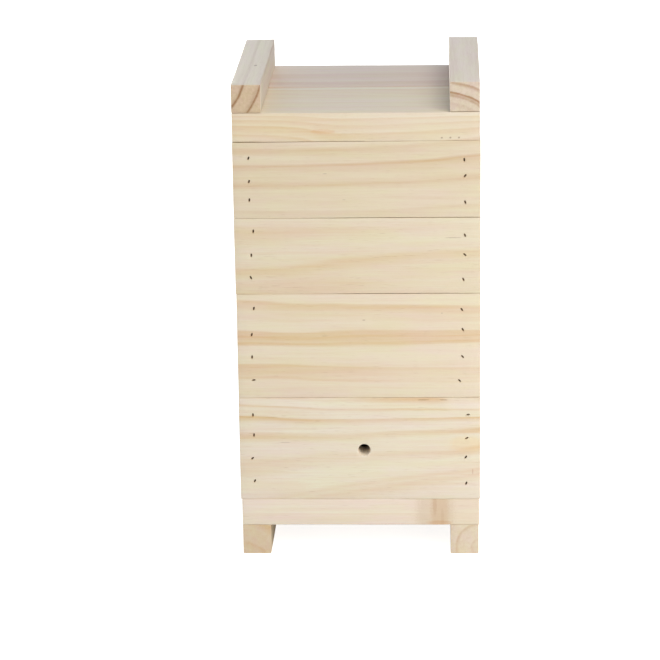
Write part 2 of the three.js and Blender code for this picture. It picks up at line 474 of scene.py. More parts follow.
def pineMaterial(name, low, high, facing, look):
    timber = bpy.data.materials.new(name)
    timber.use_nodes = True
    tree = timber.node_tree
    shader = tree.nodes["Principled BSDF"]
    shader.inputs["IOR"].default_value = planed["ior"]
    coords = addNode(tree, "ShaderNodeTexCoord").outputs
    turn = Euler(turns[facing])
    begin = turn.to_matrix() @ (faceStart(low, high, facing) / mm)
    inputs = {"Vector": coords["Object"], "Location": -begin, "Rotation": turn, "Scale": (1 / mm,) * 3}
    point = addNode(tree, "ShaderNodeMapping", inputs).outputs[0]
    seed = look["seed"] * seedStep
    behind, below = look["pith"]
    inputs = {"Point": point, "Pith Behind": behind, "Pith Below": below,
              "Wander": look.get("wander", 2.0), "Seed": seed}
    rings = useGroup(tree, ringField, inputs)
    level = rings["Radius"] if look.get("strip") else rings["Level"]
    if "sweeps" in look:
        sweep = curvesOverFace(tree, point, look["sweeps"], sweepReach)
        level = calc(tree, "SUBTRACT", level, sweep)
    density = densityRamp(tree, level, look["profile"])
    if "fading" in look:
        fade = curvesOverFace(tree, point, look["fading"], fadeReach)
        density = calc(tree, "MULTIPLY", density, fade)
    grainAxis = 1 if facing in ("left", "right") else 0
    sides = addNode(tree, "ShaderNodeSeparateXYZ", {0: coords["Normal"]}).outputs
    endGrain = remap(tree, calc(tree, "ABSOLUTE", sides[grainAxis]), 0.5, 0.95, smooth=True)
    # the rings show less on a strip's long faces than on its cut ends
    plain = look.get("plainSides", 0.0)
    density = calc(tree, "MULTIPLY", density, calc(tree, "MULTIPLY_ADD", endGrain, plain, 1 - plain))
    inputs = {"Place": coords["Object"], "Centre": (low + high) / 2, "Half Size": (high - low) / 2,
              "Seed": look["seed"]}
    edge = useGroup(tree, edgeWear, inputs)["Edge"]
    inputs = {"Point": point, "Density": density, "End Grain": endGrain, "Edge": edge,
              "Pale": look.get("pale", palePine), "Tan": look.get("tan", tanPine),
              "End Tint": look.get("endTint", endPine), "Seed": seed}
    surface = useGroup(tree, pineSurface, inputs)
    colour = surface["Color"]
    # spots lay marks in the wood over the colour, and also painted light: the pale patch inside the
    # entrance hole
    for index, (middle, reach, strength, stainAndPaintedLight) in enumerate(look.get("spots", [])):
        inputs = {"Point": point, "Middle": middle, "Reach": reach, "Seed": index * spotSeedStep}
        mask = useGroup(tree, markAndPaintedLightSpot, inputs)["Mask"]
        colour = blendColors(tree, calc(tree, "MULTIPLY", mask, strength), colour, stainAndPaintedLight)
    tree.links.new(colour, shader.inputs["Base Color"])
    tree.links.new(surface["Roughness"], shader.inputs["Roughness"])
    inputs = {"Height": surface["Relief"], "Strength": planed["reliefStrength"],
              "Distance": planed["relief"]}
    bump = addNode(tree, "ShaderNodeBump", inputs)
    tree.links.new(bump.outputs[0], shader.inputs["Normal"])
    return timber


palePine = tone(231, 218, 195)
tanPine = tone(213, 172, 115)
endPine = (0.86, 0.8, 0.73, 1)
darkPitch = tone(128, 88, 54)

# The figure of each board that shows, bottom to top. Sweeps say how far up or down the rings
# run at places along the board, profile how dense the wood is across them, fading where they
# show more or less, and spots are (middle, reach, strength, colour): marks in the wood, and on
# the nest's front also the painted light inside the entrance hole.

nestFront = {
    "seed": 1,
    "pale": tone(233, 225, 206),
    "pith": (45, 15),
    "sweeps": [
        (11, [(-78, -14), (-50, -10), (-28, -5.5), (0, -0.5), (20, 2.4), (39, 6), (60, 9.6), (78, 13)]),
        (30.5, [(-78, -3), (-62, -3), (-45, -2.5), (-30, -1), (0, 0), (30, 1.5), (60, 2.5), (78, 6.5)]),
        (44, [(-78, 0), (-62, 0), (-30, -0.5), (0, 0), (15, 0.7), (30, 1.5), (45, 2.3), (60, 3),
              (78, 5)]),
        (55, [(-78, 2), (-62, 1.7), (-45, 0.4), (-15, 0), (30, 0.5), (45, 0.9), (60, 1.7), (78, 2.5)]),
        (62, [(-78, 3.5), (-62, 2.9), (-45, 1.9), (-30, 0.7), (-15, 0), (30, 0.5), (78, 0.2)]),
    ],
    "profile": [
        (-40, 0.1), (-32, 0.3), (-31, 0.1), (-20, 0.1), (-13, 0.3), (-12, 0.12), (-2, 0.12),
        (2, 0.2), (6.4, 0.34), (9, 0.2), (11, 0.32), (14, 0.12), (24, 0.1), (27.5, 0.26),
        (30.6, 0.34), (33, 0.12), (40, 0.1), (42.5, 0.36), (44.5, 0.4), (46.5, 0.14), (51, 0.12),
        (53, 0.3), (54.7, 0.64), (55.6, 0.16), (60.4, 0.14), (61.7, 0.52), (62.6, 0.12), (66, 0.16),
        (68, 0.5), (70.5, 0.4), (76, 0.1),
    ],
    "fading": [
        (5, [(-78, 0.7), (-40, 0.8), (0, 1), (60, 1), (78, 0.8)]),
        (40, [(-78, 1.4), (-45, 1.1), (0, 1), (50, 1.1), (78, 1.7)]),
        (56, [(-78, 1.4), (-45, 1.2), (-15, 0.9), (50, 0.9), (78, 1.3)]),
        (69, [(-78, 1.2), (-40, 0.8), (-20, 0.6), (0, 0.9), (20, 1.3), (50, 1.4), (62, 0.5),
              (78, 0.5)]),
    ],
    "spots": [
        ((42, 0, 68.5), (4.5, 3, 0.5), 0.4, darkPitch),
        ((55, 0, 68.5), (3.2, 3, 0.5), 0.4, darkPitch),
        ((74, 0, 19), (0.5, 3, 2.2), 0.3, tone(170, 100, 70)),
        ((-49, 0, 39.3), (4.5, 3, 0.4), 0.25, darkPitch),
        ((-58, 0, 8), (30, 3, 9), 0.22, tone(228, 196, 166)),
        # painted light: a pale oval over the entrance hole that lightens its bore walls and rim, as if
        # light reached deep inside
        ((3, 9, 34), (6.4, 16, 6.4), 0.75, tone(248, 238, 222)),
        ((70, 0, 38), (14, 3, 7), 0.3, tone(236, 205, 152)),
    ],
}

overNestFront = {
    "seed": 2,
    "pale": tone(230, 217, 193),
    "pith": (60, 12),
    "sweeps": [
        (18, [(-78, 2.7), (-62, 2.7), (-45, 2.4), (-30, 1.2), (-15, 0.4), (0, 0), (30, -0.5),
              (78, -0.8)]),
        (35, [(-78, 0.5), (-62, 0.3), (-30, -0.5), (0, 0), (30, 0.5), (60, 2), (78, 3)]),
        (46, [(-78, -0.4), (-62, -1.2), (-45, -2.2), (-30, -1.9), (-15, -0.7), (0, 0), (30, -0.4),
              (78, -0.4)]),
        (63, [(-78, 3.4), (-62, 2.5), (-45, 1), (-30, 0.5), (-15, 0.5), (0, 0), (30, -0.3),
              (78, -1.2)]),
    ],
    "profile": [
        (-45, 0.1), (-34, 0.5), (-33, 0.1), (-20, 0.08), (-8, 0.5), (-7, 0.08), (10.2, 0.05),
        (11.2, 0.34), (13, 0.22), (18, 0.36), (20.4, 0.42), (21.4, 0.1), (26, 0.04), (34.6, 0.06),
        (35.6, 0.42), (37.1, 0.58), (38.4, 0.42), (40.2, 0.44), (41.5, 0.6), (42.6, 0.42),
        (45.4, 0.44), (46.4, 0.08), (51.5, 0.04), (53, 0.18), (55, 0.14), (58, 0.24), (61.8, 0.5),
        (62.8, 0.38), (63.4, 0.08), (68, 0.04), (80, 0.1),
    ],
    "fading": [
        (18, [(-78, 1.35), (-50, 1.3), (-20, 1), (0, 0.85), (30, 0.6), (78, 0.6)]),
        (40, [(-78, 1.1), (-20, 1), (78, 1)]),
        (60, [(-78, 0.95), (-20, 1), (60, 0.9), (78, 0.8)]),
    ],
    "spots": [
        ((3.6, 0, 52.5), (1.1, 3, 0.6), 0.32, darkPitch),
        ((54, 0, 57), (0.6, 3, 0.4), 0.4, darkPitch),
    ],
}

lowerSuperFront = {
    "seed": 3,
    "pale": tone(228, 217, 193),
    "pith": (70, 10),
    "sweeps": [
        (8, [(-78, -4), (-45, -3), (-15, 0), (30, 2), (78, 4)]),
        (24, [(-78, -10.5), (-62, -9.6), (-45, -8), (-30, -5.2), (-15, -2.2), (0, -0.4), (15, 1), (30, 2.8),
              (45, 4), (60, 5.2), (78, 6.7)]),
        (44, [(-78, -0.2), (-15, 0), (15, 0.2), (30, 1), (78, 1)]),
    ],
    "profile": [
        (-45, 0.1), (-30, 0.35), (-29, 0.1), (-8, 0.26), (-2, 0.34), (8, 0.3), (15, 0.2),
        (19, 0.32), (22.6, 0.42), (24.4, 0.3), (26.5, 0.12), (33, 0.08), (38, 0.12), (42.5, 0.28),
        (45.5, 0.12), (52, 0.05), (70, 0.2),
    ],
    "fading": [
        (10, [(-78, 1), (-20, 1), (30, 0.5), (78, 0.4)]),
        (26, [(-78, 1.1), (20, 1), (78, 0.9)]),
        (42, [(-78, 1.3), (-20, 1.2), (20, 0.8), (78, 0.4)]),
    ],
    "spots": [
        ((61.5, 0, 36.9), (6.5, 3, 0.35), 0.35, darkPitch),
    ],
}

upperSuperFront = {
    "seed": 4,
    "pale": tone(226, 213, 187),
    "tan": tone(204, 166, 118),
    "pith": (55, 12),
    "sweeps": [
        (4.5, [(-78, 0), (-45, 0), (0, 0), (30, 1), (60, 2.8), (78, 4)]),
        (23.5, [(-78, -1.4), (-62, -1.3), (-30, -1.2), (0, 0), (30, 0.8), (60, 2.1), (78, 3.5)]),
        (35.7, [(-78, -1.1), (-45, -1.1), (-30, -0.7), (0, 0), (15, 0.6), (30, 1.2), (45, 2),
                (60, 3.5), (78, 5.1)]),
        (46, [(-78, -1.3), (-62, -1.3), (-30, -1), (0, 0), (30, 1.2), (45, 2.5), (60, 3.7), (78, 5)]),
    ],
    "profile": [
        (-45, 0.1), (-32, 0.5), (-31, 0.1), (-14, 0.1), (-8, 0.4), (-7, 0.1), (1, 0.1), (4.3, 0.26),
        (5.4, 0.08), (18, 0.1), (20.5, 0.16), (22.6, 0.44), (23.4, 0.3), (26, 0.12), (31, 0.2),
        (33.8, 0.34), (35, 0.6), (35.8, 0.4), (36.6, 0.12), (41, 0.12), (42.5, 0.26), (45, 0.4),
        (47, 0.14), (52, 0.1), (70, 0.2),
    ],
    "fading": [
        (5, [(-78, 0.8), (0, 1), (78, 0.8)]),
        (23.5, [(-78, 1.3), (-20, 1), (78, 1)]),
        (35.7, [(-78, 0.85), (-20, 0.8), (0, 0.9), (40, 1.1), (78, 1.15)]),
        (45, [(-78, 1.3), (-30, 1.1), (0, 0.9), (78, 0.9)]),
    ],
    "spots": [
        ((-20, 0, 29), (1.6, 3, 0.4), 0.3, tone(150, 130, 105)),
        ((-8, 0, 12), (1.2, 3, 0.35), 0.25, tone(150, 130, 105)),
    ],
}


quietRings = {
    "start": -50,
    "stripStart": 3,
    "end": 88,
    "mostStops": 28,
    "dense": (0.16, 0.5),
    "pale": (0.06, 0.12),
    "rise": (1.5, 8),         # how slowly a ring darkens, in millimetres
    "apart": (2.5, 15),
    "sharp": 0.7,
    "lean": (-4, 4),
    "pithBehind": (40, 70),
    "pithBelow": (-20, 25),
    "wander": 3.0,
}


def quietFigure(seed, pith=None, strip=False):
    # growth rings for a board that needs no figure of its own
    draw = random.Random(seed)
    profile = [(-59, 0.1)]
    height = quietRings["stripStart" if strip else "start"]
    sharp = quietRings["sharp"]
    while height < quietRings["end"] and len(profile) < quietRings["mostStops"]:
        dense = draw.uniform(*quietRings["dense"])
        width = draw.uniform(*quietRings["rise"])
        pale = draw.uniform(*quietRings["pale"])
        profile += [(height - width, pale), (height - sharp, dense), (height + sharp, 0.1)]
        height += width + draw.uniform(*quietRings["apart"])
    sweeps = []
    for place in (5, 35, 65):
        lean = draw.uniform(*quietRings["lean"])
        bow = draw.uniform(*quietRings["lean"])
        sweeps.append((place, [(-78, bow - lean), (-30, -lean * 0.3), (10, 0), (40, lean * 0.4),
                               (78, bow + lean)]))
    if pith is None:
        pith = (draw.uniform(*quietRings["pithBehind"]), draw.uniform(*quietRings["pithBelow"]))
    look = {"seed": seed, "pith": pith, "profile": profile, "wander": quietRings["wander"],
            "strip": strip}
    if not strip:
        look["sweeps"] = sweeps
    return look


lidFront = {
    "seed": 31,
    "pale": tone(231, 220, 197),
    "pith": (50, 5),
    "wander": 1.4,
    "sweeps": [
        (0, [(-78, 3), (-40, 1), (-13, -4), (0, -4), (30, -3), (78, 0)]),
        (30, [(-78, 1.5), (-30, 0), (20, 0.4), (78, 2)]),
        (80, [(-78, -1.5), (0, 0), (78, 1.5)]),
    ],
    "profile": [
        (-44, 0.14), (-42.2, 0.44), (-41.4, 0.14), (-35, 0.5), (-33.8, 0.14), (-28, 0.38),
        (-27, 0.14), (-19.5, 0.36), (-18.7, 0.1), (2, 0.1), (7, 0.22), (7.8, 0.1), (21, 0.2),
        (22, 0.1), (33, 0.22), (34, 0.1), (46, 0.12), (50, 0.26), (50.8, 0.1), (55.6, 0.28),
        (56.4, 0.1), (60.6, 0.32), (61.4, 0.1), (65, 0.34), (66, 0.1), (69, 0.36), (70, 0.12),
        (73.6, 0.44), (75, 0.0), (80, 0.0), (82.5, 0.5),
    ],
    "spots": [
        ((54.5, 16.4, 0), (0.8, 0.7, 3), 0.6, darkPitch),
        ((59.9, 16.4, 0), (0.8, 0.7, 3), 0.6, darkPitch),
        ((65.3, 16.4, 0), (0.8, 0.7, 3), 0.6, darkPitch),
        ((-21, 12, 0), (9, 2, 5), 0.25, tone(222, 160, 100)),
        ((-70, 9, -1.5), (90, 60, 2.6), 0.12, tone(226, 186, 128)),
        ((52, 9, -1.5), (90, 60, 2.6), 0.14, tone(235, 225, 206)),
    ],
}

lidRear = {
    "seed": 32,
    "pith": (60, 20),
    "wander": 4,
    "pale": tone(224, 210, 194),
    "tan": tone(204, 168, 140),
    "sweeps": [
        (0, [(-78, 2), (-20, 0), (30, 1), (78, 4)]),
        (60, [(-78, -3), (0, 0), (78, 3)]),
    ],
    "profile": [
        (-40, 0.1), (-30, 0.3), (-29, 0.1), (-5, 0.3), (0.6, 0.6), (1.6, 0.3), (5, 0.2), (10, 0.42),
        (17, 0.4), (20, 0.18), (27, 0.16), (34, 0.36), (45, 0.3), (49, 0.12), (56, 0.2), (57, 0.08),
        (63, 0.2), (64, 0.06), (76, 0.1),
    ],
}

floorFront = {
    "seed": 33,
    "pith": (60, 30),
    "wander": 2,
    "pale": tone(236, 225, 208),
    "tan": tone(216, 176, 132),
    "profile": [
        (-60, 0.1), (-50, 0.16), (-44, 0.22), (-43, 0.1), (-36, 0.12), (-30, 0.2), (-28, 0.1),
        (0, 0.1), (12, 0.3), (13, 0.1), (27, 0.34), (28, 0.1), (45, 0.3), (46, 0.1), (66, 0.3),
        (67, 0.1),
    ],
    "spots": [
        ((49, 10, 0), (15, 34, 10), 0.34, tone(198, 170, 136)),
        ((52, 8, 0), (7, 20, 8), 0.34, tone(202, 162, 118)),
        ((66, 9, 0), (22, 60, 10), 0.2, tone(216, 190, 156)),
        ((49, 4, 0), (1.6, 9, 6), 0.2, tone(176, 122, 82)),
        ((54, 13, 0), (1.3, 8, 6), 0.12, tone(176, 122, 82)),
        ((52, 16.5, 0), (10, 2, 4), 0.3, tone(204, 146, 90)),
    ],
}

battenLeft = {
    "seed": 34,
    "strip": True,
    "pith": (58, -34),
    "pale": tone(229, 217, 196),
    "tan": tone(170, 138, 104),
    "endTint": (0.83, 0.7, 0.585, 1),
    "plainSides": 0.7,
    "wander": 1.6,
    "profile": [
        (0, 0.12), (30, 0.12), (33, 0.3), (34, 0.1), (47.6, 0.08), (49.2, 0.25), (50.0, 1),
        (51.2, 0.1), (57, 0.1), (59.4, 0.3), (60.2, 0.9), (61.2, 0.1), (66, 0.1), (68, 0.4),
        (69, 0.1), (80, 0.12),
    ],
    "spots": [
        ((-15, 7, 18), (2.2, 1.4, 2.2), 0.55, darkPitch),
        ((77, 3.5, 2.5), (3, 0.9, 1.2), 0.4, darkPitch),
    ],
}

battenRight = {
    "seed": 35,
    "strip": True,
    "pith": (24.5, 31),
    "pale": tone(236, 223, 203),
    "tan": tone(186, 146, 110),
    "endTint": (0.83, 0.8, 0.775, 1),
    "plainSides": 0.7,
    "wander": 2.6,
    "profile": [
        (0, 0.08), (34, 0.06), (37, 0.2), (38, 0.06), (40.5, 0.1), (41.6, 0.6), (42.4, 0.3),
        (43.6, 0.9), (44.4, 0.06), (48.2, 0.06), (49.5, 0.4), (50.5, 0.6), (51.1, 0.06), (56, 0.3),
        (57, 0.06), (80, 0.1),
    ],
}

footRight = {
    "seed": 36,
    "strip": True,
    "pith": (-1.2, -4.5),
    "pale": tone(234, 221, 200),
    "tan": tone(204, 166, 124),
    "endTint": (0.9, 0.89, 0.87, 1),
    "plainSides": 0.6,
    "wander": 1.4,
    "profile": [
        (0, 0.1), (4, 0.06), (6, 0.26), (7, 0.06), (14.5, 0.1), (16.3, 0.42), (17.2, 0.08),
        (22, 0.1), (25, 0.3), (26, 0.1),
    ],
}

looks = {
    "nest_front": nestFront,
    "over_nest_front": overNestFront,
    "lower_super_front": lowerSuperFront,
    "upper_super_front": upperSuperFront,
    "lid_front_board": lidFront,
    "lid_rear_board": lidRear,
    "floor_front_board": floorFront,
    "lid_batten_left": battenLeft,
    "lid_batten_right": battenRight,
    "foot_right": footRight,
}

boardShape = {
    "ease": 0.32 * mm,     # how far the plane has taken the edges off
    "easeSteps": 3,
    "warp": 0.16 * mm,     # how far a face wanders from flat
    "warpSizes": (0.034, 0.0037),   # how broad the warp is, and how much that differs by board
    "long": 100 * mm,      # sides longer than this are cut into the most parts
    "cutsLong": 22,
    "cutsShort": 7,
    "thin": 25 * mm,
    "cutsThin": 3,
    "rise": 0,             # how far the top goes up past its place
    "near": 1 * mm,        # what counts as at a face
}
# the feet are glued tight, with crisper edges
footShape = dict(boardShape, ease=0.14 * mm, rise=0.24 * mm)
cornerEase = 0.4 * mm
pitShape = {
    "halfTall": 1.45 * mm,   # the dent that the driver leaves over a brad
    "halfWide": 0.66 * mm,
    "deep": 0.85 * mm,
    "proud": 0.3 * mm,
    "floorShare": 0.78,
    "sides": 20,
}
bradShape = {
    "headTall": 2 * mm,
    "headWide": 1 * mm,
    "headThick": 0.8 * mm,
    "shankTall": 1.2 * mm,
    "pointLong": 1.5 * mm,
    "pointTall": 0.3 * mm,
    "sink": 0.8 * mm,
    "wallLength": 35 * mm,
    "stripLength": 30 * mm,
    "ease": 0.1 * mm,
}
entrance = {
    "across": 8 * mm,
    "x": 3 * mm,
    "belowMiddle": 1 * mm,
    "sides": 48,
    "drillLong": 1.5,       # times the board's thickness
    "rim": 0.5 * mm,
    "near": 0.05 * mm,      # what counts as on the rim, across and along the bore
    "nearAlong": 0.3 * mm,
}

# a front board closes down on the one below, and stands off it again from x to x, in millimetres
closed = (-90, 90, -0.22)
seams = {
    "lid_front_board": [closed, (-80, 8, 0.17), (-80, -62, 0.2)],
    "upper_super_front": [closed, (-40, 80, 0.05), (-28, 80, 0.12), (-15, 80, 0.11)],
    "lower_super_front": [closed, (-30, 80, 0.06), (-15, 80, 0.13), (0, 66, 0.06)],
    "over_nest_front": [closed, (-28, 80, 0.03), (38, 80, 0.04), (66, 80, 0.12)],
    "nest_front": [closed],
}
# how much wider than drawn each body's boards are sawn, to the left and to the right
sideSpread = {
    "floor": (0, 0.3 * mm),
    "foot_left": (0, 0),
    "foot_right": (0, 0),
    "nest": (0.7 * mm, 0.85 * mm),
    "over_nest": (0.5 * mm, 0.9 * mm),
    "lower_super": (0.75 * mm, 0.95 * mm),
    "upper_super": (0.85 * mm, 0.85 * mm),
    "lid": (0.6 * mm, 0.5 * mm),
}
# corners out of square, by side in x, y and z (0 is both sides), and how far they move
strayCorners = {
    "lid_batten_left": [((-1, 1, 0), (-0.8 * mm, -1 * mm, 0)), ((-1, 1, 1), (0, 0, 0.6 * mm)),
                        ((1, 1, 1), (0, 0, 0.8 * mm))],
    "lid_batten_right": [((1, 1, 0), (0.6 * mm, 0, 0)), ((0, 1, 1), (0, 0, 0.45 * mm))],
    "lid_rear_board": [((-1, 1, 0), (0, 0, 0.6 * mm)), ((1, 1, 0), (0, 0, 0.4 * mm))],
    "lid_front_board": [((-1, -1, -1), (0, 0, -0.6 * mm))],
    "upper_super_front": [((-1, 0, 1), (0, 0, -0.6 * mm))],
    "upper_super_left": [((0, -1, 1), (0, 0, -0.5 * mm))],
}


def planedBoard(name, low, high, shape, seed, corners=()):
    deselectAll()
    bpy.ops.mesh.primitive_cube_add(size=1, location=(low + high) / 2)
    board = bpy.context.object
    board.name = name
    board.scale = high - low
    placeInMesh(board)
    middle = (low + high) / 2
    for sides, move in corners:
        enterEdit(board, "VERT")
        selectVerts(board, lambda co: all((co[axis] - middle[axis]) * side > 0
                                          for axis, side in enumerate(sides) if side))
        bpy.ops.transform.translate(value=move)
        leaveEdit()
    editAll()
    bpy.ops.mesh.bevel(offset=shape["ease"], segments=shape["easeSteps"], affect="EDGES")
    leaveEdit()
    size = high - low
    for axis in range(3):
        cuts = shape["cutsLong"] if size[axis] > shape["long"] else shape["cutsShort"]
        if size[axis] < shape["thin"]:
            cuts = shape["cutsThin"]
        reach = size[axis] * 0.8      # only the edges that run the whole way are as long as this
        enterEdit(board, "EDGE")
        selectEdges(board, lambda a, b: abs(a[axis] - b[axis]) > reach)
        bpy.ops.mesh.subdivide(number_cuts=cuts)
        leaveEdit()
    clouds = bpy.data.textures.new(name + "_warp", "CLOUDS")
    broad, step = shape["warpSizes"]
    clouds.noise_scale = broad + step * (seed % 7)
    clouds.noise_depth = 1
    warp = board.modifiers.new("warp", "DISPLACE")
    warp.texture = clouds
    warp.texture_coords = "LOCAL"
    warp.strength = shape["warp"] * 2
    warp.mid_level = 0.5
    applyAll(board)
    return board


def cutOut(board, cutters):
    deselectAll()
    for cutter in cutters:
        cutter.select_set(True)
    bpy.context.view_layer.objects.active = cutters[0]
    if len(cutters) > 1:
        bpy.ops.object.join()
    tool = cutters[0]
    cut = board.modifiers.new("cut", "BOOLEAN")
    cut.operation = "DIFFERENCE"
    cut.solver = "EXACT"
    cut.object = tool
    applyAll(board)
    bpy.data.objects.remove(tool)


def liftUnderside(board, low, rows):
    for start, end, lift in rows:
        enterEdit(board, "VERT")
        selectVerts(board, lambda co: co.z < low.z + boardShape["near"] and start * mm < co.x < end * mm)
        bpy.ops.transform.translate(value=(0, 0, lift * mm))
        leaveEdit()


def modelPit():
    # a tapered oval plug that takes the dent over a brad out of a board's face
    deselectAll()
    share = pitShape["floorShare"]
    grow = 1 + (1 - share) * pitShape["proud"] / pitShape["deep"]
    depth = pitShape["deep"] + pitShape["proud"]
    bpy.ops.mesh.primitive_cone_add(vertices=pitShape["sides"], radius1=grow, radius2=share, depth=depth,
                                    location=(0, depth / 2 - pitShape["proud"], 0),
                                    rotation=(-math.pi / 2, 0, 0))
    plug = bpy.context.object
    plug.scale = (pitShape["halfWide"], pitShape["halfTall"], 1)
    placeInMesh(plug)
    return plug


def modelBrad(length):
    # the head's face lies at y = 0 and the shank runs towards +y
    head = bradShape["headThick"]
    shank = length - head - bradShape["pointLong"]
    deselectAll()
    bpy.ops.mesh.primitive_cube_add(size=1, location=(0, head / 2, 0))
    brad = bpy.context.object
    brad.scale = (bradShape["headWide"], head, bradShape["headTall"])
    placeInMesh(brad)
    editAll()
    bpy.ops.mesh.bevel(offset=bradShape["ease"], segments=2, affect="EDGES")
    leaveEdit()
    enterEdit(brad, "VERT")
    selectVerts(brad, lambda co: co.y > head - bradShape["ease"] / 10)
    bpy.ops.mesh.extrude_region_move()
    bpy.ops.transform.resize(value=(1, 1, bradShape["shankTall"] / bradShape["headTall"]),
                             center_override=(0, head, 0))
    bpy.ops.mesh.extrude_region_move(TRANSFORM_OT_translate={"value": (0, shank, 0)})
    bpy.ops.mesh.extrude_region_move(TRANSFORM_OT_translate={"value": (0, bradShape["pointLong"], 0)})
    bpy.ops.transform.resize(value=(1, 1, bradShape["pointTall"] / bradShape["shankTall"]),
                             center_override=(0, length, 0))
    leaveEdit()
    return brad


# the turn that brings a brad driven from the front to another face
drives = {
    "front": (0, 0, 0),
    "back": (0, 0, math.pi),
    "under": (math.pi / 2, 0, 0),
    "over": (-math.pi / 2, 0, 0),
}


def standAt(piece, place, drive, lean, sink=0.0):
    turn = Euler(drives[drive]).to_matrix().to_4x4() @ Matrix.Rotation(math.radians(lean), 4, "Y")
    inward = turn @ Vector((0, sink, 0))
    piece.matrix_world = Matrix.Translation(place + inward) @ turn
    placeInMesh(piece)


# how each front brad leans, lowest first, in degrees
leans = {
    "nest": {"left": (20, 45, 5, 0), "right": (25, 35, 60, 75)},
    "over_nest": {"left": (80, 5, 15, 12), "right": (-45, -40, -28, -35)},
    "lower_super": {"left": (-25, 4, 6), "right": (-20, -45, -16)},
    "upper_super": {"left": (6, 20, 20), "right": (-15, 38, -4)},
}

boxes = ("nest", "over_nest", "lower_super", "upper_super")
backBrads = {"strayAcross": 0.9 * mm, "strayUp": 1.2 * mm, "lean": 60}
stripBrads = {
    "along": {"front": (-62, -12), "rear": (58,)},   # millimetres from the middle
    "stray": 0.9,
    "lean": 80,
}
bradPits = {}     # board: (place on its face, drive, lean)
hiddenBrads = []  # name, body, place, drive, lean, kind


def planBrads():
    draw = random.Random(7)
    for box in boxes:
        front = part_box(f"{box}_front")[0].y
        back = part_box(f"{box}_back")[1].y
        bradPits[f"{box}_front"] = []
        bradPits[f"{box}_back"] = []
        for side, row in leans[box].items():
            for index, lean in enumerate(row, start=1):
                low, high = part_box(f"{box}_brad_{side}_{index}")
                middle = (low + high) / 2
                bradPits[f"{box}_front"].append((Vector((middle.x, front, middle.z)), "front", lean))
                across, up = backBrads["strayAcross"], backBrads["strayUp"]
                place = Vector((-middle.x + draw.uniform(-across, across), back,
                                middle.z + draw.uniform(-up, up)))
                turned = draw.uniform(-backBrads["lean"], backBrads["lean"])
                bradPits[f"{box}_back"].append((place, "back", turned))
                hiddenBrads.append((f"{box}_back_brad_{side}_{index}", box, place, "back", turned, "wall"))
    for part, strips, drive in (("lid", "lid_batten", "under"), ("floor", "foot", "over")):
        for end, along in stripBrads["along"].items():
            board = f"{part}_{end}_board"
            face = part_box(board)[0 if drive == "under" else 1].z
            bradPits[board] = []
            for side in ("left", "right"):
                low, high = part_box(f"{strips}_{side}")
                for index, y in enumerate(along, start=1):
                    stray = stripBrads["stray"]
                    place = Vector(((low.x + high.x) / 2 + draw.uniform(-stray, stray) * mm,
                                    (y + draw.uniform(-stray, stray)) * mm, face))
                    turned = draw.uniform(-stripBrads["lean"], stripBrads["lean"])
                    bradPits[board].append((place, drive, turned))
                    name = f"{part}_{end}_brad_{side}_{index}"
                    hiddenBrads.append((name, part, place, drive, turned, "strip"))


planBrads()
pitModel = modelPit()


def addBoard(node, body, facing, seed, prepare=None):
    low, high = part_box(node)
    shape = footShape if node.startswith("foot") else boardShape
    toLeft, toRight = sideSpread.get(node, sideSpread[body])
    if low.x < cadBox[0][0] + shape["near"]:
        low.x -= toLeft
    if high.x > cadBox[1][0] - shape["near"]:
        high.x += toRight
    high.z += shape["rise"]
    board = planedBoard(node + "_pine", low, high, shape, seed, strayCorners.get(node, ()))
    if prepare:
        prepare(board, low, high)
    if node in seams:
        liftUnderside(board, low, seams[node])
    if node in bradPits:
        plugs = []
        for place, drive, lean in bradPits[node]:
            plug = copyPiece(pitModel, "pit")
            standAt(plug, place, drive, lean)
            plugs.append(plug)
        cutOut(board, plugs)
    if node == "nest_front":
        boreEntrance(board, low, high)
    shadeSoft(board)
    look = looks.get(node) or quietFigure(seed)
    board.data.materials.clear()
    board.data.materials.append(pineMaterial(node + "_timber", low, high, facing, look))
    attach(board, body)
    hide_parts(node)
    return board


def boreEntrance(board, low, high):
    deselectAll()
    middle = (low + high) / 2 + Vector((entrance["x"], 0, -entrance["belowMiddle"]))
    bpy.ops.mesh.primitive_cylinder_add(vertices=entrance["sides"], radius=entrance["across"] / 2,
                                        depth=(high.y - low.y) * entrance["drillLong"], location=middle,
                                        rotation=(math.pi / 2, 0, 0))
    drill = bpy.context.object
    placeInMesh(drill)
    cutOut(board, [drill])
    # the drill breaks the fibres at the rim
    enterEdit(board, "EDGE")
    radius = entrance["across"] / 2

    def onRim(a, b):
        flatA = math.hypot(a.x - middle.x, a.z - middle.z)
        flatB = math.hypot(b.x - middle.x, b.z - middle.z)
        return (max(abs(flatA - radius), abs(flatB - radius)) < entrance["near"]
                and abs(a.y - b.y) < entrance["nearAlong"])

    selectEdges(board, onRim)
    bpy.ops.mesh.bevel(offset=entrance["rim"], segments=3, affect="EDGES")
    leaveEdit()


seed = 40
for box in boxes:
    addBoard(f"{box}_front", box, "front", seed)
    addBoard(f"{box}_back", box, "back", seed + 1)
    addBoard(f"{box}_left", box, "left", seed + 2)
    addBoard(f"{box}_right", box, "right", seed + 3)
    seed += 4
    print(box, "boards planed")

for node, body in (("floor_front_board", "floor"), ("floor_rear_board", "floor"),
                   ("lid_front_board", "lid"), ("lid_rear_board", "lid")):
    addBoard(node, body, "top", seed)
    seed += 1
for node, body in (("foot_left", "floor"), ("foot_right", "floor"),
                   ("lid_batten_left", "lid"), ("lid_batten_right", "lid")):
    if node == "foot_left":
        looks[node] = quietFigure(seed, (20, 12), True)
    addBoard(node, body, "right", seed)
    seed += 1
for box in ("lower_super", "upper_super"):
    addBoard(f"{box}_floor", box, "top", seed)
    seed += 1


